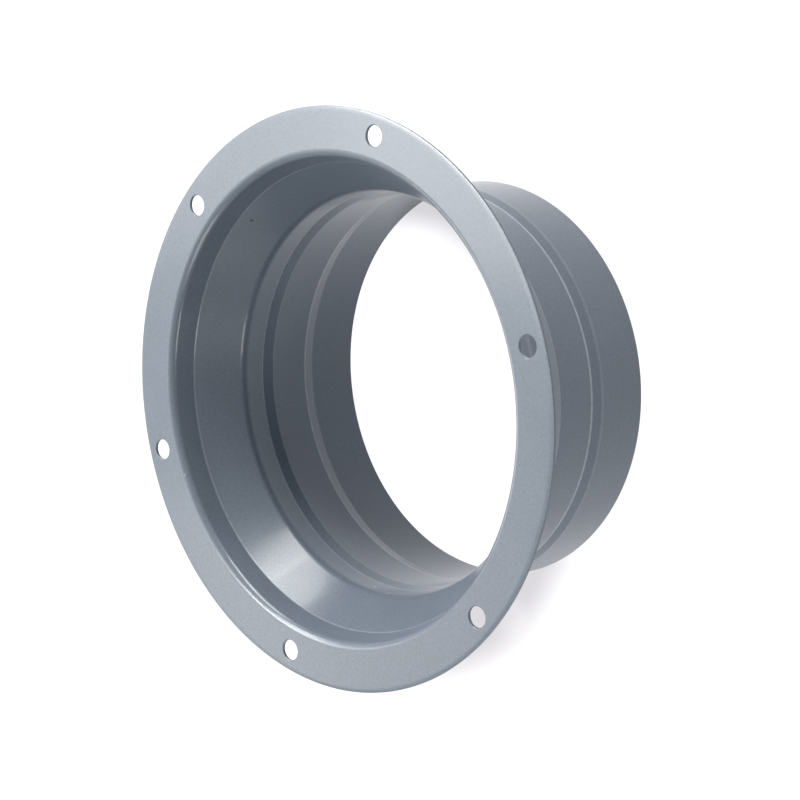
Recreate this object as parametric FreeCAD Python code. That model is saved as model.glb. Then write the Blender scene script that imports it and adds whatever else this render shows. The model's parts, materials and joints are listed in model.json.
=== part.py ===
import FreeCAD, Part

import math
import os

# Duct connector flange: one sheet-steel piece, pressed and rolled from a single disc.
#
# Frame: +Z is the axis of the air path. The spigot's cut end stands on Z = 0, and the flat mounting
# flange is at the top with its front face looking up. Millimetres and degrees throughout.
#
# The section runs from the flange's rim to the spigot's cut end: flat flange, rolled mouth, tapered
# collar, conical shoulder, neck land, shallow clamp groove with sloped sides, end land.

# Sheet and diameters
SHEET = 1.0
SPIGOT_OD = 148.5
SHOULDER_FLARE = 12.45     # mouth radius less the spigot's outside radius
FLANGE_WIDTH = 17.3        # mouth to rim

# Lengths along the axis, from the front face down to the cut end
COLLAR_DEPTH = 9.2
SHOULDER_DEPTH = 16.1
NECK_LAND = 9.2
GROOVE_SLOPE = 4.6         # each sloped side of the groove
GROOVE_FLOOR = 16.8
END_LAND = 21.5

COLLAR_TAPER_DEG = 16.0
GROOVE_DEPTH = 1.1

# Bend radii, each on the hollow side of its bend; the other side is larger by the sheet.
# The collar's foot and the groove turn by less than 20 degrees and are plain folds.
MOUTH_BEND = 1.5
NECK_BEND = 6.0
FOLD = 0.0

# The blanked rim falls away from the front face over this width, by this much
RIM_FALL_WIDTH = 2.0
RIM_FALL = 0.2

# Screw holes, punched from the front: the front edge is drawn in and the back edge is sharp
HOLE_COUNT = 6
HOLE_DIA = 7.5
HOLE_INSET = 7.5           # rim to the circle of the hole centres
HOLE_START_DEG = -90.0
HOLE_DRAW = 0.35
PUNCH_CLEARANCE = 5.0

FULL_TURN = 360.0

# Worked out from the sizes above
SPIGOT_R = SPIGOT_OD / 2
MOUTH_R = SPIGOT_R + SHOULDER_FLARE
FLANGE_R = MOUTH_R + FLANGE_WIDTH
HOLE_CIRCLE_R = FLANGE_R - HOLE_INSET
GROOVE_LENGTH = GROOVE_FLOOR + 2 * GROOVE_SLOPE
OVERALL_LENGTH = COLLAR_DEPTH + SHOULDER_DEPTH + NECK_LAND + GROOVE_LENGTH + END_LAND


def bore_side_corners():
    """Corners (radius, height) of the surface that faces the air, from the rim to the cut end."""
    collar_r = MOUTH_R - COLLAR_DEPTH * math.tan(math.radians(COLLAR_TAPER_DEG))
    collar_z = OVERALL_LENGTH - COLLAR_DEPTH
    neck_r = SPIGOT_R - SHEET
    groove_r = neck_r - GROOVE_DEPTH
    groove_top = END_LAND + GROOVE_LENGTH
    return [
        (FLANGE_R, OVERALL_LENGTH),
        (MOUTH_R, OVERALL_LENGTH),
        (collar_r, collar_z),
        (neck_r, collar_z - SHOULDER_DEPTH),
        (neck_r, groove_top),
        (groove_r, groove_top - GROOVE_SLOPE),
        (groove_r, END_LAND + GROOVE_SLOPE),
        (neck_r, END_LAND),
        (neck_r, 0.0),
    ]


def bend_radii():
    """Hollow-side bend radius at each inner corner: mouth, collar's foot, neck, four groove folds."""
    return [MOUTH_BEND, FOLD, NECK_BEND, FOLD, FOLD, FOLD, FOLD]


def unit(start, end):
    """Unit vector from start to end."""
    length = math.hypot(end[0] - start[0], end[1] - start[1])
    return ((end[0] - start[0]) / length, (end[1] - start[1]) / length)


def turn(before, corner, after):
    """Signed turn of the path at a corner, in radians; a left turn is positive."""
    a = unit(before, corner)
    b = unit(corner, after)
    return math.atan2(a[0] * b[1] - a[1] * b[0], a[0] * b[0] + a[1] * b[1])


def offset_to_left(corners, distance):
    """Corners of the same path moved sideways by a distance, to the left of its direction."""
    moved = []
    last = len(corners) - 1
    for i, corner in enumerate(corners):
        a = unit(corners[max(i - 1, 0)], corners[max(i, 1)])
        b = unit(corners[min(i, last - 1)], corners[min(i + 1, last)])
        normal = (-a[1] - b[1], a[0] + b[0])
        stretch = distance / (1 + a[0] * b[0] + a[1] * b[1])
        moved.append((corner[0] + normal[0] * stretch, corner[1] + normal[1] * stretch))
    return moved


def point(corner):
    """A section point as a vector in the XZ plane."""
    return FreeCAD.Vector(corner[0], 0, corner[1])


def straight(start, end):
    """Straight edge of the section."""
    return Part.LineSegment(point(start), point(end)).toShape()


def bent_path(corners, radii):
    """Edges of an open path whose inner corners are rounded by tangent arcs, or folded plainly."""
    edges = []
    start = corners[0]
    for i, radius in enumerate(radii, start=1):
        before, corner, after = corners[i - 1], corners[i], corners[i + 1]
        if radius == FOLD:
            edges.append(straight(start, corner))
            start = corner
            continue
        angle = turn(before, corner, after)
        a = unit(before, corner)
        b = unit(corner, after)
        reach = radius * math.tan(abs(angle) / 2)
        arc_start = (corner[0] - a[0] * reach, corner[1] - a[1] * reach)
        arc_end = (corner[0] + b[0] * reach, corner[1] + b[1] * reach)
        side = math.copysign(radius, angle)
        centre = (arc_start[0] - a[1] * side, arc_start[1] + a[0] * side)
        outward = unit(centre, corner)
        middle = (centre[0] + outward[0] * radius, centre[1] + outward[1] * radius)
        edges.append(straight(start, arc_start))
        edges.append(Part.Arc(point(arc_start), point(middle), point(arc_end)).toShape())
        start = arc_end
    edges.append(straight(start, corners[-1]))
    return edges


def sheet_section():
    """Closed face of the sheet's section, one sheet thick, with every bend concentric."""
    front = bore_side_corners()
    back = offset_to_left(front, SHEET)
    front_radii = []
    back_radii = []
    for i, bend in enumerate(bend_radii()):
        hollow_in_front = turn(front[i], front[i + 1], front[i + 2]) < 0
        outside = FOLD if bend == FOLD else bend + SHEET
        front_radii.append(bend if hollow_in_front else outside)
        back_radii.append(outside if hollow_in_front else bend)
    face_end = (FLANGE_R - RIM_FALL_WIDTH, OVERALL_LENGTH)
    rim_edge = (FLANGE_R, OVERALL_LENGTH - RIM_FALL)
    edges = bent_path([face_end] + front[1:], front_radii)
    edges.append(straight(front[-1], back[-1]))
    edges += bent_path(back[::-1], back_radii[::-1])
    edges.append(straight(back[0], rim_edge))
    edges.append(straight(rim_edge, face_end))
    return Part.Face(Part.Wire(edges))


def hole_centres():
    """Centres of the screw holes on their circle, in the plane of the front face."""
    centres = []
    for i in range(HOLE_COUNT):
        angle = math.radians(HOLE_START_DEG + i * FULL_TURN / HOLE_COUNT)
        x = HOLE_CIRCLE_R * math.cos(angle)
        y = HOLE_CIRCLE_R * math.sin(angle)
        centres.append(FreeCAD.Vector(x, y, OVERALL_LENGTH))
    return centres


def punched(blank, centre):
    """The flange with one more hole: a plain bore whose front edge is drawn in as a short cone."""
    down = FreeCAD.Vector(0, 0, -1)
    radius = HOLE_DIA / 2
    bore = Part.makeCylinder(radius, SHEET + 2 * PUNCH_CLEARANCE, centre - down * PUNCH_CLEARANCE, down)
    drawn_edge = Part.makeCone(radius + HOLE_DRAW, radius, HOLE_DRAW, centre, down)
    return blank.cut(bore).cut(drawn_edge)


def connector_flange():
    """The whole piece: the section turned about Z, then punched."""
    shape = sheet_section().revolve(FreeCAD.Vector(0, 0, 0), FreeCAD.Vector(0, 0, 1), FULL_TURN)
    for centre in hole_centres():
        shape = punched(shape, centre)
    return shape


def main():
    """Write the one piece as a STEP file and print its measures."""
    os.makedirs("parts", exist_ok=True)
    flange = connector_flange()
    flange.exportStep("parts/connector_flange.step")
    print("connector_flange valid", flange.isValid(), "solids", len(flange.Solids))
    print("flange diameter", 2 * FLANGE_R, "length", round(OVERALL_LENGTH, 3))
    print("hole circle", 2 * HOLE_CIRCLE_R, "volume", round(flange.Volume, 1))


main()
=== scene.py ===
import json
import logging
import math
from dataclasses import dataclass, field, replace
from enum import Enum
from typing import Any

import bpy
import numpy as np
from mathutils import Matrix, Vector


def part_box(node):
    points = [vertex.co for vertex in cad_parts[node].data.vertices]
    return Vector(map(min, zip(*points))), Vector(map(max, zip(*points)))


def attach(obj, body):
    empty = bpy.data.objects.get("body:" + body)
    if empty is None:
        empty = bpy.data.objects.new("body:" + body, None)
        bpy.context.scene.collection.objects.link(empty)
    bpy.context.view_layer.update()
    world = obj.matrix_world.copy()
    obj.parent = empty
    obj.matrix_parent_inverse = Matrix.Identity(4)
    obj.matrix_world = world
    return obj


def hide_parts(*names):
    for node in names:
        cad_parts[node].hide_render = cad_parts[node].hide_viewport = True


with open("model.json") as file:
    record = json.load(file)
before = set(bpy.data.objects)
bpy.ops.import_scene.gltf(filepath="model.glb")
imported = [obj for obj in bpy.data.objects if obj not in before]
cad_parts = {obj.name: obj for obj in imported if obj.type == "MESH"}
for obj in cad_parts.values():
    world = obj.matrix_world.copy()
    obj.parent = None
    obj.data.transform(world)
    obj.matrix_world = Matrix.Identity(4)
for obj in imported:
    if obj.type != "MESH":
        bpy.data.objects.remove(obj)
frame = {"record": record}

# The looks of a duct connector flange: one pressed and painted sheet-steel piece.
# Metres in the scene; the section's own sizes are named in millimetres and scaled once.

MM = 0.001
FULL_TURN = 2 * math.pi
QUARTER_TURN = math.pi / 2
NODE = "connector_flange"
BODY = "root"

# Noise stays mostly between these two values.
NOISE_LOW = 0.3
NOISE_HIGH = 0.7

# Octaves of a soft and of a fine noise.
SOFT = 1.0
FINE = 2.0

# The Mix node has one set of sockets for each kind of data; these are the places of the colours.
MIX_FIRST = 6
MIX_SECOND = 7
MIX_RESULT = 2

# A Triple is a place or a linear colour.
Socket = bpy.types.NodeSocket
Triple = tuple[float, float, float]

log = logging.getLogger("connector_flange")


class Side(Enum):
    """Which face of the sheet a plate belongs to."""

    FRONT = 1
    BACK = -1


@dataclass(frozen=True)
class Corner:
    """One corner of the section's air side.

    Radius and height place the corner in millimetres, and bend is the radius on the hollow side of
    the sheet, where the other side's radius is larger by the sheet.
    """

    radius: float
    height: float
    bend: float
    steps: int


@dataclass
class Outline:
    """A stretch of the section: its points and outward normals.

    Both are (n, 2) arrays, with the radius first and the height second.
    """

    points: np.ndarray
    normals: np.ndarray

    def joined(self, other: "Outline") -> "Outline":
        """This stretch followed by another, with the shared point kept once.

        Args:
            other: The stretch that starts where this one ends.

        Returns:
            One stretch.
        """
        return Outline(
            np.vstack([self.points, other.points[1:]]),
            np.vstack([self.normals, other.normals[1:]]),
        )


@dataclass
class Surface:
    """A quad mesh as arrays: vertices (n, 3), outward normals (n, 3) and faces (m, 4)."""

    vertices: np.ndarray
    normals: np.ndarray
    faces: np.ndarray

    def flipped(self) -> "Surface":
        """Turn the faces round, where the normals are already right.

        Returns:
            The same surface with its faces turned round.
        """
        return Surface(self.vertices, self.normals, self.faces[:, ::-1])


def merged(parts: list[Surface], tolerance: float) -> Surface:
    """Join surfaces and merge their shared border vertices.

    Vertices are rounded to the tolerance and equal rows become one vertex, which keeps the normal
    of the first surface that has it.

    Args:
        parts: Surfaces that share borders point for point.
        tolerance: Rounding step in metres.

    Returns:
        One closed surface.
    """
    vertices = np.vstack([p.vertices for p in parts])
    normals = np.vstack([p.normals for p in parts])
    starts = np.cumsum([0] + [len(p.vertices) for p in parts[:-1]])
    faces = np.vstack([p.faces + start for p, start in zip(parts, starts)])
    keys = np.round(vertices / tolerance).astype(np.int64)
    _, first, inverse = np.unique(keys, axis=0, return_index=True, return_inverse=True)
    return Surface(vertices[first], normals[first], inverse.reshape(-1)[faces])


def closed_grid(rows: int, around: int) -> np.ndarray:
    """Faces between the rows of a grid whose last column meets its first.

    Args:
        rows: Number of rows.
        around: Number of columns.

    Returns:
        Faces (m, 4), with the points numbered row by row.
    """
    index = np.arange(rows * around).reshape(rows, around)
    ahead = np.roll(index, -1, axis=1)
    return np.stack([index[:-1], ahead[:-1], ahead[1:], index[1:]], axis=-1).reshape(-1, 4)


def turned(outline: Outline, around: int) -> Surface:
    """Turn an outline about Z.

    A point (radius, height) goes to (radius cos a, radius sin a, height), and its normal turns with
    it, for equal steps of the angle a round the full circle.

    Args:
        outline: Stretch of the section in metres.
        around: Number of steps round the circle.

    Returns:
        A surface open at both ends of the outline.
    """
    angles = np.arange(around) * FULL_TURN / around
    cosines, sines = np.cos(angles), np.sin(angles)

    def swept(pairs: np.ndarray) -> np.ndarray:
        """Turn pairs of (radius, height) about Z.

        Args:
            pairs: Array (n, 2).

        Returns:
            Rows of the outline by columns of the angle, as one list (m, 3).
        """
        x = pairs[:, :1] * cosines
        y = pairs[:, :1] * sines
        z = np.repeat(pairs[:, 1:], around, axis=1)
        return np.stack([x, y, z], axis=-1).reshape(-1, 3)

    faces = closed_grid(len(outline.points), around)
    return Surface(swept(outline.points), swept(outline.normals), faces)


def straight(start: np.ndarray, end: np.ndarray) -> Outline:
    """A straight stretch in one step, with its normal to the right of its direction.

    Args:
        start: First point.
        end: Last point.

    Returns:
        The two ends.
    """
    direction = (end - start) / np.linalg.norm(end - start)
    normal = np.array([direction[1], -direction[0]])
    return Outline(np.stack([start, end]), np.stack([normal, normal]))


def bend(
    before: np.ndarray, corner: np.ndarray, after: np.ndarray, radius: float, steps: int
) -> Outline:
    """The arc that rounds one corner and touches both of its sides.

    With the corner's turn t, the arc starts radius times tan(t / 2) before the corner. Its normal
    turns evenly from the first side's to the second's, and each point is the centre plus or minus
    the radius times that normal.

    Args:
        before: A point on the side that arrives.
        corner: The corner.
        after: A point on the side that leaves.
        radius: Radius of the arc.
        steps: Number of equal steps.

    Returns:
        The arc, both ends included.
    """
    arriving = (corner - before) / np.linalg.norm(corner - before)
    leaving = (after - corner) / np.linalg.norm(after - corner)
    crossed = arriving[0] * leaving[1] - arriving[1] * leaving[0]
    angle = math.atan2(crossed, float(arriving @ leaving))
    side = math.copysign(1.0, angle)
    start = corner - arriving * radius * math.tan(abs(angle) / 2)
    normal = np.array([arriving[1], -arriving[0]])
    centre = start - normal * radius * side
    turns = np.linspace(0.0, angle, steps + 1)
    across = normal[0] * np.cos(turns) - normal[1] * np.sin(turns)
    up = normal[0] * np.sin(turns) + normal[1] * np.cos(turns)
    normals = np.stack([across, up], axis=-1)
    return Outline(centre + normals * radius * side, normals)


def bent_outline(corners: np.ndarray, radii: list[float], steps: list[int]) -> Outline:
    """Straight lands joined by arcs, through a list of corners.

    Args:
        corners: Corners of the path, ends included.
        radii: Arc radius at each inner corner.
        steps: Arc steps at each inner corner.

    Returns:
        The whole stretch.
    """
    arcs = [
        bend(corners[i], corners[i + 1], corners[i + 2], radius, count)
        for i, (radius, count) in enumerate(zip(radii, steps))
    ]
    path = straight(corners[0], arcs[0].points[0]).joined(arcs[0])
    for arc in arcs[1:]:
        path = path.joined(straight(path.points[-1], arc.points[0])).joined(arc)
    return path.joined(straight(path.points[-1], corners[-1]))


def moved_left(corners: np.ndarray, distance: float) -> np.ndarray:
    """Corners of the same path moved sideways to the left of its direction.

    Each corner moves along the sum of its two sides' left normals. The sum is stretched by the
    distance over (1 + cosine of the turn), so that both sides move by the distance.

    Args:
        corners: Corners of the path.
        distance: Sideways distance.

    Returns:
        The moved corners.
    """
    sides = np.diff(corners, axis=0)
    sides = sides / np.linalg.norm(sides, axis=1)[:, None]
    arriving = np.vstack([sides[:1], sides])
    leaving = np.vstack([sides, sides[-1:]])
    normals = np.stack([-arriving[:, 1] - leaving[:, 1], arriving[:, 0] + leaving[:, 0]], axis=-1)
    stretch = distance / (1 + np.sum(arriving * leaving, axis=1))
    return corners + normals * stretch[:, None]


@dataclass(frozen=True)
class Mark:
    """A small mark in the paint.

    Its place and its size, which is a radius, are in millimetres. The mark is full inside its core,
    a share of the size, and noise moves its edge by the ragged share.
    """

    place: Triple
    size: float
    colour: Triple
    core: float = 0.6
    ragged: float = 0.4


@dataclass(frozen=True)
class PaintedHighlightLine:
    """A painted highlight line round the piece: lighter colour along a fold, painted in place of
    the glint the fold catches.

    It lies at a height and fades out a width above and below, both in millimetres. Share is how
    much of the painted highlight colour shows at its middle.
    """

    height: float
    width: float
    share: float


@dataclass(frozen=True)
class PaintedSteel:
    """Smooth blue-grey enamel with a clear gloss over pressed sheet steel.

    Sizes and heights are in millimetres. A painted highlight line, lighter colour that stands in
    for a fold's glint, keeps its least share where noise is low, and is whole where noise reaches
    its whole level.
    """

    name: str = "painted_steel"
    mottle_light: Triple = (0.131, 0.163, 0.210)
    mottle_dark: Triple = (0.117, 0.147, 0.190)
    roughness_low: float = 0.28
    roughness_high: float = 0.34
    refraction: float = 1.45
    gloss_tint: Triple = (0.78, 0.90, 1.0)
    coat: float = 0.3
    coat_roughness: float = 0.13
    mottle_size: float = 16.0
    grain_size: float = 0.8
    grain_shade: float = 0.09
    peel_size: float = 0.9
    peel_height: float = 0.006
    wave_size: float = 28.0
    wave_height: float = 0.02
    # Painted highlight: a lighter colour, broken up by noise, laid along the folds in place of
    # their glints.
    painted_highlight_colour: Triple = (0.38, 0.43, 0.50)
    painted_highlight_size: float = 2.5
    painted_highlight_least: float = 0.6
    painted_highlight_whole: float = 0.6
    painted_highlight_lines: tuple[PaintedHighlightLine, ...] = ()
    marks: tuple[Mark, ...] = ()

    def material(self) -> bpy.types.Material:
        """The paint as nodes on Object coordinates.

        A soft mottle moves the colour and the gloss, a fine grain shades the colour, and painted
        highlight lines along the folds and the marks lie over it. A slow wave and orange peel bend
        the light.

        Returns:
            The material.
        """
        made = bpy.data.materials.new(self.name)
        made.use_nodes = True
        nodes = NodeBoard(made.node_tree)
        shader = made.node_tree.nodes["Principled BSDF"]
        shader.inputs["IOR"].default_value = self.refraction
        shader.inputs["Specular Tint"].default_value = (*self.gloss_tint, 1.0)
        shader.inputs["Coat Weight"].default_value = self.coat
        shader.inputs["Coat Roughness"].default_value = self.coat_roughness
        place = nodes.add("ShaderNodeTexCoord").outputs["Object"]
        mottle = nodes.noise(place, self.mottle_size, SOFT)
        grain = nodes.noise(place, self.grain_size, FINE)
        least, most = 1 - self.grain_shade, 1 + self.grain_shade
        shade = nodes.ranged(grain, NOISE_LOW, NOISE_HIGH, least, most)
        colour = nodes.shaded(nodes.mixed(mottle, self.mottle_dark, self.mottle_light), shade)
        # Painted highlight: lighter lines along the folds stand in for the glints they catch.
        colour = nodes.painted_highlight(place, colour, self)
        for mark in self.marks:
            colour = nodes.marked(place, colour, mark)
        nodes.link(colour, shader.inputs["Base Color"])
        satin = nodes.ranged(mottle, 0.0, 1.0, self.roughness_low, self.roughness_high)
        nodes.link(satin, shader.inputs["Roughness"])
        wave = nodes.noise(place, self.wave_size, SOFT)
        peel = nodes.noise(place, self.peel_size, FINE)
        peeled = nodes.bump(peel, self.peel_height, nodes.bump(wave, self.wave_height, None))
        nodes.link(peeled, shader.inputs["Normal"])
        nodes.link(peeled, shader.inputs["Coat Normal"])
        return made


class NodeBoard:
    """Short calls for the few kinds of shader node that the paint and the studio use."""

    def __init__(self, tree: bpy.types.NodeTree) -> None:
        """Keep the tree.

        Args:
            tree: Node tree that every call adds to.
        """
        self.tree = tree

    def add(self, kind: str, **settings: Any) -> bpy.types.Node:
        """Add a node and set its plain settings.

        Args:
            kind: Node type name.
            settings: Attribute values of the node.

        Returns:
            The node.
        """
        node = self.tree.nodes.new(kind)
        for key, value in settings.items():
            setattr(node, key, value)
        return node

    def link(self, source: Socket, target: Socket) -> None:
        """Join an output to an input.

        Args:
            source: Output of one node.
            target: Input of another.
        """
        self.tree.links.new(source, target)

    def noise(self, place: Socket, size_mm: float, octaves: float) -> Socket:
        """Noise whose features are about a given size.

        Args:
            place: Coordinates in metres.
            size_mm: Feature size in millimetres.
            octaves: Layers of finer and finer noise.

        Returns:
            The noise factor, from 0 to 1.
        """
        node = self.add("ShaderNodeTexNoise")
        node.inputs["Scale"].default_value = 1 / (size_mm * MM)
        node.inputs["Detail"].default_value = octaves
        self.link(place, node.inputs["Vector"])
        return node.outputs["Fac"]

    def mixed(self, factor: Socket, first: Socket | Triple, second: Triple) -> Socket:
        """Blend a colour with a fixed one.

        Args:
            factor: 0 for the first colour, 1 for the second.
            first: First colour, worked out by other nodes or fixed.
            second: Second colour.

        Returns:
            The blend.
        """
        node = self.add("ShaderNodeMix", data_type="RGBA")
        self.link(factor, node.inputs["Factor"])
        if isinstance(first, tuple):
            node.inputs[MIX_FIRST].default_value = (*first, 1.0)
        else:
            self.link(first, node.inputs[MIX_FIRST])
        node.inputs[MIX_SECOND].default_value = (*second, 1.0)
        return node.outputs[MIX_RESULT]

    def ranged(
        self, value: Socket, low: float, high: float, to_low: float, to_high: float,
        kind: str = "LINEAR",
    ) -> Socket:
        """Map one range to another.

        Args:
            value: Input.
            low: Input that gives to_low.
            high: Input that gives to_high.
            to_low: Output at low.
            to_high: Output at high.
            kind: Interpolation.

        Returns:
            The mapped value.
        """
        node = self.add("ShaderNodeMapRange", interpolation_type=kind)
        ends = {"From Min": low, "From Max": high, "To Min": to_low, "To Max": to_high}
        for name, number in ends.items():
            node.inputs[name].default_value = number
        self.link(value, node.inputs["Value"])
        return node.outputs["Result"]

    def maths(self, operation: str, *values: Socket | float) -> Socket:
        """One arithmetic node.

        Args:
            operation: Name of the operation.
            values: Sockets or numbers, in order.

        Returns:
            The result.
        """
        node = self.add("ShaderNodeMath", operation=operation)
        for value, target in zip(values, node.inputs):
            if isinstance(value, (int, float)):
                target.default_value = value
            else:
                self.link(value, target)
        return node.outputs["Value"]

    def shaded(self, colour: Socket, shade: Socket) -> Socket:
        """A colour multiplied by one number.

        Args:
            colour: The colour.
            shade: The number.

        Returns:
            The shaded colour.
        """
        node = self.add("ShaderNodeVectorMath", operation="SCALE")
        self.link(colour, node.inputs[0])
        self.link(shade, node.inputs["Scale"])
        return node.outputs["Vector"]

    def painted_highlight(self, place: Socket, colour: Socket, finish: PaintedSteel) -> Socket:
        """Painted highlight lines round the piece: lighter colour along its folds in place of their
        glints.

        A line's share falls smoothly from its own height to a width above and below. The largest
        share of all lines counts, and noise breaks it up.

        Args:
            place: Coordinates in metres.
            colour: Colour so far.
            finish: The paint, with its painted highlight lines and their colour.

        Returns:
            The new colour.
        """
        parts = self.add("ShaderNodeSeparateXYZ")
        self.link(place, parts.inputs["Vector"])
        share: Socket | float = 0.0
        for painted_highlight in finish.painted_highlight_lines:
            above = self.maths("SUBTRACT", parts.outputs["Z"], painted_highlight.height * MM)
            away = self.maths("ABSOLUTE", above)
            line = self.ranged(away, 0.0, painted_highlight.width * MM, painted_highlight.share, 0.0, "SMOOTHSTEP")
            share = self.maths("MAXIMUM", line, share)
        ragged = self.noise(place, finish.painted_highlight_size, FINE)
        kept = self.ranged(ragged, NOISE_LOW, finish.painted_highlight_whole, finish.painted_highlight_least, 1.0)
        return self.mixed(self.maths("MULTIPLY", share, kept), colour, finish.painted_highlight_colour)

    def marked(self, place: Socket, colour: Socket, mark: Mark) -> Socket:
        """Lay one small mark over a colour, full in its core and gone at its size.

        Args:
            place: Coordinates in metres.
            colour: Colour so far.
            mark: The mark.

        Returns:
            The new colour.
        """
        ragged = self.noise(place, mark.size, FINE)
        spread = self.ranged(ragged, NOISE_LOW, NOISE_HIGH, 1 - mark.ragged, 1 + mark.ragged)
        apart = self.add("ShaderNodeVectorMath", operation="DISTANCE")
        self.link(place, apart.inputs[0])
        apart.inputs[1].default_value = [MM * value for value in mark.place]
        away = self.maths("MULTIPLY", apart.outputs["Value"], spread)
        share = self.ranged(away, mark.size * MM, mark.core * mark.size * MM, 0.0, 1.0)
        return self.mixed(share, colour, mark.colour)

    def bump(self, height: Socket, height_mm: float, before: Socket | None) -> Socket:
        """Bump of a given height over an optional earlier one.

        Args:
            height: Height from 0 to 1.
            height_mm: Height of 1 in millimetres.
            before: Normal of an earlier bump, if any.

        Returns:
            The bumped normal.
        """
        node = self.add("ShaderNodeBump")
        node.inputs["Strength"].default_value = 1.0
        node.inputs["Distance"].default_value = height_mm * MM
        self.link(height, node.inputs["Height"])
        if before is not None:
            self.link(before, node.inputs["Normal"])
        return node.outputs["Normal"]


@dataclass
class ConnectorFlange:
    """The one pressed piece, in millimetres until its mesh is made."""

    flange_radius: float
    length: float
    spigot_radius: float
    hole_circle_radius: float
    hole_radius: float
    hole_count: int
    sheet: float = 1.0
    shoulder_flare: float = 12.45
    collar_depth: float = 9.2
    collar_taper: float = math.radians(16.0)
    shoulder_depth: float = 16.1
    groove_slope: float = 4.6
    groove_floor: float = 16.8
    groove_depth: float = 1.1
    end_land: float = 21.5
    mouth_bend: float = 2.2
    collar_bend: float = 2.0
    neck_bend: float = 6.0
    groove_bend: float = 2.5
    rim_fall_width: float = 2.0
    rim_fall: float = 0.12
    edge_break: float = 0.12
    hole_draw: float = 0.35
    hole_start: float = -QUARTER_TURN
    around: int = 720
    mouth_steps: int = 9
    neck_steps: int = 7
    fold_steps: int = 4
    edge_steps: int = 3
    rim_fall_steps: int = 6
    hole_draw_steps: int = 5
    hole_back_steps: int = 2
    patch_half_steps: int = 7
    plate_rows: int = 10
    patch_rings: int = 4
    plate_inner_radius: float = 91.0
    merge_step: float = 1e-7
    finish: PaintedSteel = field(default_factory=PaintedSteel)

    @classmethod
    def from_frame(cls) -> "ConnectorFlange":
        """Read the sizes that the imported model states: its box and its mounts.

        Returns:
            The piece with those sizes.
        """
        low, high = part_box(NODE)
        mounts = {m["name"]: m["dims"] for m in frame["record"]["mounts"]}
        screws = mounts["wall_screws"]
        return cls(
            flange_radius=(high.x - low.x) / 2 / MM,
            length=high.z / MM,
            spigot_radius=mounts["duct_spigot"]["r_mm"],
            hole_circle_radius=screws["pcd_mm"] / 2,
            hole_radius=screws["hole_r_mm"],
            hole_count=screws["count"],
        )

    def air_side(self) -> list[Corner]:
        """Corners of the air side below the flat flange.

        Returns:
            The corners from the mouth to the rear of the groove.
        """
        mouth = self.spigot_radius + self.shoulder_flare
        collar = mouth - self.collar_depth * math.tan(self.collar_taper)
        neck = self.spigot_radius - self.sheet
        floor = neck - self.groove_depth
        collar_z = self.length - self.collar_depth
        groove_top = self.end_land + self.groove_floor + 2 * self.groove_slope
        return [
            Corner(mouth, self.length, self.mouth_bend, self.mouth_steps),
            Corner(collar, collar_z, self.collar_bend, self.fold_steps),
            Corner(neck, collar_z - self.shoulder_depth, self.neck_bend, self.neck_steps),
            Corner(neck, groove_top, self.groove_bend, self.fold_steps),
            Corner(floor, groove_top - self.groove_slope, self.groove_bend, self.fold_steps),
            Corner(floor, self.end_land + self.groove_slope, self.groove_bend, self.fold_steps),
            Corner(neck, self.end_land, self.groove_bend, self.fold_steps),
        ]

    def body_outline(self) -> Outline:
        """Section of everything inside the flat plate.

        The air side runs down from the plate to the cut end, turns round the cut edge, and comes
        back up the outside one sheet away, with every bend concentric. A corner is hollow on the
        air side where the cross product of its two sides is negative.

        Returns:
            The outline in metres.
        """
        corners = self.air_side()
        front = np.array(
            [(self.plate_inner_radius, self.length)]
            + [(c.radius, c.height) for c in corners]
            + [(corners[-1].radius, 0.0)]
        )
        back = moved_left(front, self.sheet)
        sides = np.diff(front, axis=0)
        hollow = sides[:-1, 0] * sides[1:, 1] - sides[:-1, 1] * sides[1:, 0] < 0
        front_radii = [c.bend if h else c.bend + self.sheet for c, h in zip(corners, hollow)]
        back_radii = [c.bend + self.sheet if h else c.bend for c, h in zip(corners, hollow)]
        steps = [c.steps for c in corners]
        cut_radii = [self.edge_break, self.edge_break]
        cut_steps = [self.edge_steps, self.edge_steps]
        outline = bent_outline(
            np.vstack([front, back[::-1]]),
            front_radii + cut_radii + back_radii[::-1],
            steps + cut_steps + steps[::-1],
        )
        return Outline(outline.points * MM, outline.normals)

    def rim_outline(self) -> Outline:
        """Section of the rim: flat back, two broken edges and a front that falls away in an arc.

        The arc touches the front plane and drops by the rim's fall over its width, so its radius is
        (width squared plus fall squared) over twice the fall.

        Returns:
            The outline in metres, from the back plate round to the front plate.
        """
        plate = self.flange_radius - self.rim_fall_width
        back_z = self.length - self.sheet
        radius = (self.rim_fall_width**2 + self.rim_fall**2) / (2 * self.rim_fall)
        whole = math.asin(self.rim_fall_width / radius)
        turns = np.linspace(whole, 0.0, self.rim_fall_steps + 1)
        arc_normals = np.stack([np.sin(turns), np.cos(turns)], axis=-1)
        centre = np.array([plate, self.length - radius])
        arc = Outline(centre + arc_normals * radius, arc_normals)
        inner = np.array([plate, back_z])
        outer = np.array([self.flange_radius, back_z])
        edge = np.array([self.flange_radius, self.length - self.rim_fall])
        inward = edge - np.array([math.cos(whole), -math.sin(whole)]) * self.rim_fall_width
        lower = bend(inner, outer, edge, self.edge_break, self.edge_steps)
        upper = bend(outer, edge, inward, self.edge_break, self.edge_steps)
        path = straight(inner, lower.points[0]).joined(lower)
        path = path.joined(straight(lower.points[-1], upper.points[0])).joined(upper).joined(arc)
        return Outline(path.points * MM, path.normals)

    def hole_angles(self) -> np.ndarray:
        """Angles of the hole centres on their circle.

        Returns:
            One angle for each hole.
        """
        return self.hole_start + np.arange(self.hole_count) * FULL_TURN / self.hole_count

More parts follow.
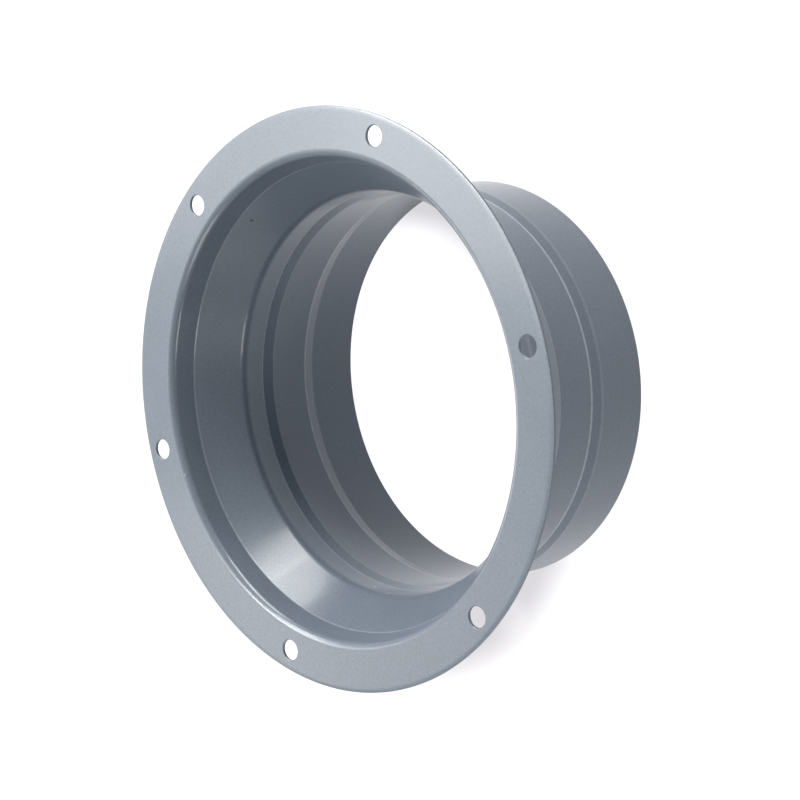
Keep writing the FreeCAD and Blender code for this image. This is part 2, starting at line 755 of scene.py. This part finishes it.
    def plate(self, side: Side) -> Surface:
        """The flat ring between the mouth's bend and the rim, left open round each screw hole.

        Points lie on a grid of radius and angle, and the grid's cells within a patch of each hole
        are left out.

        Args:
            side: Front or back face of the sheet.

        Returns:
            The flat surface.
        """
        radii = self.plate_radii()
        angles = np.arange(self.around) * FULL_TURN / self.around
        height = self.height_of(side)
        x = radii[:, None] * np.cos(angles)
        y = radii[:, None] * np.sin(angles)
        vertices = np.stack([x, y, np.full_like(x, height)], axis=-1).reshape(-1, 3) * MM
        index = np.arange(len(vertices)).reshape(len(radii), self.around)
        ahead = np.roll(index, -1, axis=1)
        cells = np.stack([index[:-1], index[1:], ahead[1:], ahead[:-1]], axis=-1)
        columns = np.arange(self.around)
        middle = np.round(self.hole_angles() / FULL_TURN * self.around).astype(int)
        offset = (columns[None, :] - middle[:, None] + self.patch_half_steps) % self.around
        kept = np.all(offset >= 2 * self.patch_half_steps, axis=0)
        faces = cells[:, kept].reshape(-1, 4)
        used = np.unique(faces)
        renumber = np.zeros(len(vertices), dtype=np.int64)
        renumber[used] = np.arange(len(used))
        normals = np.repeat([[0.0, 0.0, float(side.value)]], len(used), axis=0)
        surface = Surface(vertices[used], normals, renumber[faces])
        return surface if side is Side.FRONT else surface.flipped()

    def plate_radii(self) -> np.ndarray:
        """Radii of the plate's grid.

        Returns:
            Even steps from the mouth side to the rim side.
        """
        return np.linspace(
            self.plate_inner_radius, self.flange_radius - self.rim_fall_width, self.plate_rows + 1
        )

    def height_of(self, side: Side) -> float:
        """Height of the plate's front or back face.

        Args:
            side: Front or back face of the sheet.

        Returns:
            The height in millimetres.
        """
        return self.length if side is Side.FRONT else self.length - self.sheet

    def patch_border(self, centre_angle: float) -> np.ndarray:
        """Border of a hole's patch, on the plate's own grid points, once round.

        Args:
            centre_angle: Angle of the hole's centre.

        Returns:
            Points (n, 2) in millimetres.
        """
        step = FULL_TURN / self.around
        columns = np.arange(-self.patch_half_steps, self.patch_half_steps + 1) * step + centre_angle
        radii = self.plate_radii()
        right, left = columns[0], columns[-1]
        loop = [
            np.stack([radii[:-1], np.full(self.plate_rows, right)], axis=-1),
            np.stack([np.full(len(columns) - 1, radii[-1]), columns[:-1]], axis=-1),
            np.stack([radii[:0:-1], np.full(self.plate_rows, left)], axis=-1),
            np.stack([np.full(len(columns) - 1, radii[0]), columns[:0:-1]], axis=-1),
        ]
        radius, angle = np.vstack(loop).T
        return np.stack([radius * np.cos(angle), radius * np.sin(angle)], axis=-1)

    def hole(self, centre_angle: float) -> Surface:
        """One screw hole with the plate's patches round it, front and back.

        Rings run from the front patch's border in to the hole, over its drawn edge, which is a
        quarter circle, down the bore, over the broken back edge and out to the back patch's border.
        A ring inside the patch is the border moved towards the hole's circle by an even share.

        Args:
            centre_angle: Angle of the hole's centre.

        Returns:
            The surface.
        """
        border = self.patch_border(centre_angle)
        outward = np.array([math.cos(centre_angle), math.sin(centre_angle)])
        centre = self.hole_circle_radius * outward
        first = math.atan2(*(border[0] - centre)[::-1])
        angles = first + np.arange(len(border)) * FULL_TURN / len(border)
        spokes = np.stack([np.cos(angles), np.sin(angles)], axis=-1)
        shares = np.linspace(0.0, 1.0, self.patch_rings + 1)[:-1, None, None]
        top, bottom = self.height_of(Side.FRONT), self.height_of(Side.BACK)
        arc = np.linspace(0.0, QUARTER_TURN, self.hole_draw_steps + 1)
        draw_r = self.hole_radius + self.hole_draw * (1 - np.sin(arc))
        draw_z = top - self.hole_draw * (1 - np.cos(arc))
        back_arc = np.linspace(0.0, QUARTER_TURN, self.hole_back_steps + 1)
        broken_r = self.hole_radius + self.edge_break * (1 - np.cos(back_arc))
        broken_z = bottom + self.edge_break * (1 - np.sin(back_arc))
        ring_r = np.concatenate([draw_r, broken_r])
        ring_z = np.concatenate([draw_z, broken_z])
        ring_nr = np.concatenate([-np.sin(arc), -np.cos(back_arc)])
        ring_nz = np.concatenate([np.cos(arc), -np.sin(back_arc)])

        def patch(rim_radius: float) -> np.ndarray:
            """Rings from the border to just before the hole's edge circle.

            Args:
                rim_radius: Radius of that circle.

            Returns:
                Points (rings, n, 2).
            """
            edge = centre + spokes * rim_radius
            return border[None] * (1 - shares) + edge[None] * shares

        front = patch(ring_r[0])
        back = patch(ring_r[-1])[::-1]
        rings_xy = centre + spokes[None] * ring_r[:, None, None]
        flat = np.concatenate([front, rings_xy, back])
        heights = np.concatenate([np.full(len(front), top), ring_z, np.full(len(back), bottom)])
        across = np.concatenate([np.zeros(len(front)), ring_nr, np.zeros(len(back))])
        up = np.concatenate([np.ones(len(front)), ring_nz, -np.ones(len(back))])
        count = len(border)
        z = np.repeat(heights[:, None, None], count, axis=1)
        vertices = np.concatenate([flat, z], axis=-1).reshape(-1, 3) * MM
        leaning = spokes[None] * across[:, None, None]
        upright = np.repeat(up[:, None, None], count, axis=1)
        normals = np.concatenate([leaning, upright], axis=-1).reshape(-1, 3)
        return Surface(vertices, normals, closed_grid(len(heights), count))

    def surface(self) -> Surface:
        """The whole closed skin of the piece.

        Returns:
            The skin in metres.
        """
        parts = [turned(self.body_outline(), self.around), turned(self.rim_outline(), self.around)]
        parts += [self.plate(Side.FRONT), self.plate(Side.BACK)]
        parts += [self.hole(float(angle)) for angle in self.hole_angles()]
        return merged(parts, self.merge_step)

    def painted_highlight_lines(self) -> tuple[PaintedHighlightLine, ...]:
        """Painted highlight lines along the groove's four folds and the collar's foot, in place of
        their glints.

        Returns:
            The lines, from the cut end up.
        """
        rear_fold = self.end_land + self.groove_slope
        front_fold = rear_fold + self.groove_floor
        return (
            PaintedHighlightLine(self.end_land, width=1.0, share=0.25),
            PaintedHighlightLine(rear_fold, width=0.7, share=1.0),
            PaintedHighlightLine(front_fold, width=0.5, share=0.25),
            PaintedHighlightLine(front_fold + self.groove_slope, width=0.6, share=0.4),
            PaintedHighlightLine(self.length - self.collar_depth, width=0.5, share=0.4),
        )

    def handling_marks(self) -> tuple[Mark, ...]:
        """Small marks of handling.

        Returns:
            A dark speck on the shoulder, a nick at the mouth and two chips at the neck.
        """
        return (
            Mark((73.8, 34.8, 69.2), size=0.7, colour=(0.02, 0.025, 0.03)),
            Mark((-11.6, 86.9, 81.9), size=0.5, colour=(0.30, 0.34, 0.38)),
            Mark((-67.5, 28.5, 52.5), size=0.8, colour=(0.24, 0.27, 0.31)),
            Mark((-70.8, 19.2, 55.3), size=0.7, colour=(0.22, 0.25, 0.29)),
        )

    def build(self) -> bpy.types.Object:
        """Make the mesh object, with the worked-out normals, its paint and its place on the frame.

        Returns:
            The object, which stands for the CAD node.
        """
        surface = self.surface()
        # The finish gets the painted highlight lines along the folds and the handling marks.
        finish = replace(
            self.finish, painted_highlight_lines=self.painted_highlight_lines(), marks=self.handling_marks()
        )
        mesh = bpy.data.meshes.new("pressed_flange")
        mesh.from_pydata(surface.vertices, [], surface.faces)
        mesh.shade_smooth()
        mesh.normals_split_custom_set_from_vertices(surface.normals)
        mesh.materials.append(finish.material())
        piece = bpy.data.objects.new("pressed_flange", mesh)
        bpy.context.scene.collection.objects.link(piece)
        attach(piece, BODY)
        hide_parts(NODE)
        log.info("%s: %d vertices, %d faces", piece.name, len(mesh.vertices), len(mesh.polygons))
        return piece


@dataclass(frozen=True)
class Softbox:
    """A square soft lamp that faces the object.

    Azimuth and elevation point from the object to the lamp and span is the angle it covers, all in
    degrees. Level is its brightness, where 1 is white.
    """

    name: str
    azimuth: float
    elevation: float
    span: float
    level: float


def pointing(azimuth: float, elevation: float) -> Vector:
    """A direction from its two angles.

    Args:
        azimuth: Degrees from +X towards +Y.
        elevation: Degrees above the floor.

    Returns:
        The unit vector.
    """
    around, up = math.radians(azimuth), math.radians(elevation)
    level = math.cos(up)
    return Vector((level * math.cos(around), level * math.sin(around), math.sin(up)))


@dataclass
class Studio:
    """White room, softboxes, floor and the camera.

    The camera's place is in millimetres. The floor shows its glow plus the lamp's share.
    """

    softboxes: tuple[Softbox, ...] = (
        Softbox("back_softbox", 48.0, 54.0, 16.0, 22.0),
        Softbox("back_right_softbox", 30.0, 40.0, 16.0, 18.0),
        Softbox("back_low_softbox", 86.0, 14.0, 16.0, 5.5),
        Softbox("back_high_softbox", 66.0, 55.0, 16.0, 9.0),
        Softbox("face_softbox", 66.0, 40.0, 16.0, 3.8),
        Softbox("face_fill", 96.0, 46.0, 12.0, 3.6),
        Softbox("face_low_fill", 96.0, 37.0, 12.0, 2.2),
        Softbox("left_softbox", 176.0, 38.0, 25.0, 5.6),
        Softbox("front_low_softbox", -135.0, 11.0, 18.0, 9.0),
        Softbox("right_low_softbox", -22.0, 13.0, 18.0, 16.0),
        Softbox("right_softbox", -4.0, 19.0, 20.0, 11.5),
    )
    softbox_colour: Triple = (1.0, 0.94, 0.878)
    lamp_distance: float = 1.5
    room_light: float = 0.02
    floor_half: float = 3.0
    floor_glow: Triple = (0.650, 0.640, 0.672)
    floor_paint: float = 0.10
    floor_lamp_azimuth: float = -84.5
    floor_lamp_elevation: float = 52.5
    floor_lamp_spread: float = 8.0
    floor_lamp_share: float = 0.37
    camera_place: Triple = (-53.23, -613.84, 663.53)
    camera_look: Triple = (0.05760, 0.70480, -0.70700)
    camera_up: Triple = (0.97630, -0.18770, -0.10750)
    lens: float = 107.931
    sensor: float = 36.0
    clip_start: float = 0.01
    clip_end: float = 20.0

    def seen(self, board: NodeBoard) -> Socket:
        """Tell the rays that show the backdrop from those that light the object.

        Args:
            board: The backdrop's or the floor's nodes.

        Returns:
            1 for a camera, glossy or see-through ray, else 0.
        """
        path = board.add("ShaderNodeLightPath").outputs
        shown = board.maths("MAXIMUM", path["Is Camera Ray"], path["Is Glossy Ray"])
        return board.maths("MAXIMUM", shown, path["Is Transmission Ray"])

    def build_world(self) -> None:
        """A room that is white to the eye and in reflections, and gives only a little light."""
        world = bpy.data.worlds.new("white_room")
        bpy.context.scene.world = world
        world.use_nodes = True
        world.node_tree.nodes.clear()
        board = NodeBoard(world.node_tree)
        room = board.add("ShaderNodeBackground")
        room.inputs["Color"].default_value = (1.0, 1.0, 1.0, 1.0)
        strength = board.ranged(self.seen(board), 0.0, 1.0, self.room_light, 1.0)
        board.link(strength, room.inputs["Strength"])
        board.link(room.outputs["Background"], board.add("ShaderNodeOutputWorld").inputs["Surface"])
        log.info("white room")

    def build_softbox(self, softbox: Softbox) -> None:
        """Place one square lamp.

        Its side is twice the distance times tan(span / 2). Its power is the level times pi times
        its area, which gives that brightness in every direction.

        Args:
            softbox: The lamp.
        """
        side = 2 * self.lamp_distance * math.tan(math.radians(softbox.span) / 2)
        data = bpy.data.lights.new(softbox.name, "AREA")
        data.shape = "SQUARE"
        data.size = side
        data.energy = softbox.level * math.pi * side * side
        data.color = self.softbox_colour
        self.place_lamp(data, pointing(softbox.azimuth, softbox.elevation))
        log.info("%s", softbox.name)

    def place_lamp(self, data: bpy.types.Light, towards: Vector) -> bpy.types.Object:
        """Put a lamp in a direction, facing the origin, out of the camera's sight.

        Args:
            data: The lamp.
            towards: Direction from the origin.

        Returns:
            The lamp's object.
        """
        lamp = bpy.data.objects.new(data.name, data)
        lamp.location = towards * self.lamp_distance
        lamp.rotation_euler = towards.to_track_quat("Z", "Y").to_euler()
        lamp.visible_camera = False
        bpy.context.scene.collection.objects.link(lamp)
        return lamp

    def build_floor(self) -> None:
        """A white floor that keeps the object's shadow: a lit share over a glow of its own."""
        half = self.floor_half
        mesh = bpy.data.meshes.new("floor")
        corners = [(-half, -half, 0), (half, -half, 0), (half, half, 0), (-half, half, 0)]
        mesh.from_pydata(corners, [], [(0, 1, 2, 3)])
        floor = bpy.data.objects.new("floor", mesh)
        bpy.context.scene.collection.objects.link(floor)
        made = bpy.data.materials.new("white_floor")
        made.use_nodes = True
        made.node_tree.nodes.clear()
        board = NodeBoard(made.node_tree)
        glow = board.add("ShaderNodeEmission")
        glow.inputs["Color"].default_value = (*self.floor_glow, 1.0)
        board.link(self.seen(board), glow.inputs["Strength"])
        paint = board.add("ShaderNodeBsdfDiffuse")
        grey = (self.floor_paint, self.floor_paint, self.floor_paint)
        paint.inputs["Color"].default_value = (*grey, 1.0)
        both = board.add("ShaderNodeAddShader")
        board.link(glow.outputs["Emission"], both.inputs[0])
        board.link(paint.outputs["BSDF"], both.inputs[1])
        board.link(both.outputs["Shader"], board.add("ShaderNodeOutputMaterial").inputs["Surface"])
        mesh.materials.append(made)
        self.build_floor_lamp(floor)
        log.info("floor")

    def build_floor_lamp(self, floor: bpy.types.Object) -> None:
        """A distant lamp that lights the floor only, and throws the object's shadow on it.

        Its strength gives the floor the share that is asked for: share times pi, over the paint's
        lightness and the sine of the elevation.

        Args:
            floor: The floor.
        """
        data = bpy.data.lights.new("floor_lamp", "SUN")
        data.angle = math.radians(self.floor_lamp_spread)
        slant = math.sin(math.radians(self.floor_lamp_elevation))
        data.energy = self.floor_lamp_share * math.pi / (self.floor_paint * slant)
        towards = pointing(self.floor_lamp_azimuth, self.floor_lamp_elevation)
        lamp = self.place_lamp(data, towards)
        lit = bpy.data.collections.new("lit_by_floor_lamp")
        lit.objects.link(floor)
        lamp.light_linking.receiver_collection = lit

    def build_camera(self) -> None:
        """The camera at the photo's place, turned so that the picture's up is the part's +X."""
        data = bpy.data.cameras.new("camera")
        data.lens = self.lens
        data.sensor_width = self.sensor
        data.clip_start = self.clip_start
        data.clip_end = self.clip_end
        camera = bpy.data.objects.new("camera", data)
        bpy.context.scene.collection.objects.link(camera)
        back = -Vector(self.camera_look).normalized()
        right = Vector(self.camera_up).cross(back).normalized()
        up = back.cross(right)
        turn = Matrix((right, up, back)).transposed().to_4x4()
        camera.matrix_world = Matrix.Translation(Vector(self.camera_place) * MM) @ turn
        bpy.context.scene.camera = camera
        log.info("camera at %s mm", self.camera_place)

    def set_view(self) -> None:
        """Plain colour handling."""
        bpy.context.scene.view_settings.view_transform = "Standard"

    def build(self) -> None:
        """Everything that isn't the object."""
        self.build_world()
        for softbox in self.softboxes:
            self.build_softbox(softbox)
        self.build_floor()
        self.build_camera()
        self.set_view()


def main() -> None:
    """Build the flange, then the studio round it."""
    logging.basicConfig(level=logging.INFO, format="%(name)s: %(message)s")
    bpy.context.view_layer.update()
    ConnectorFlange.from_frame().build()
    Studio().build()


if __name__ == "__main__":
    main()
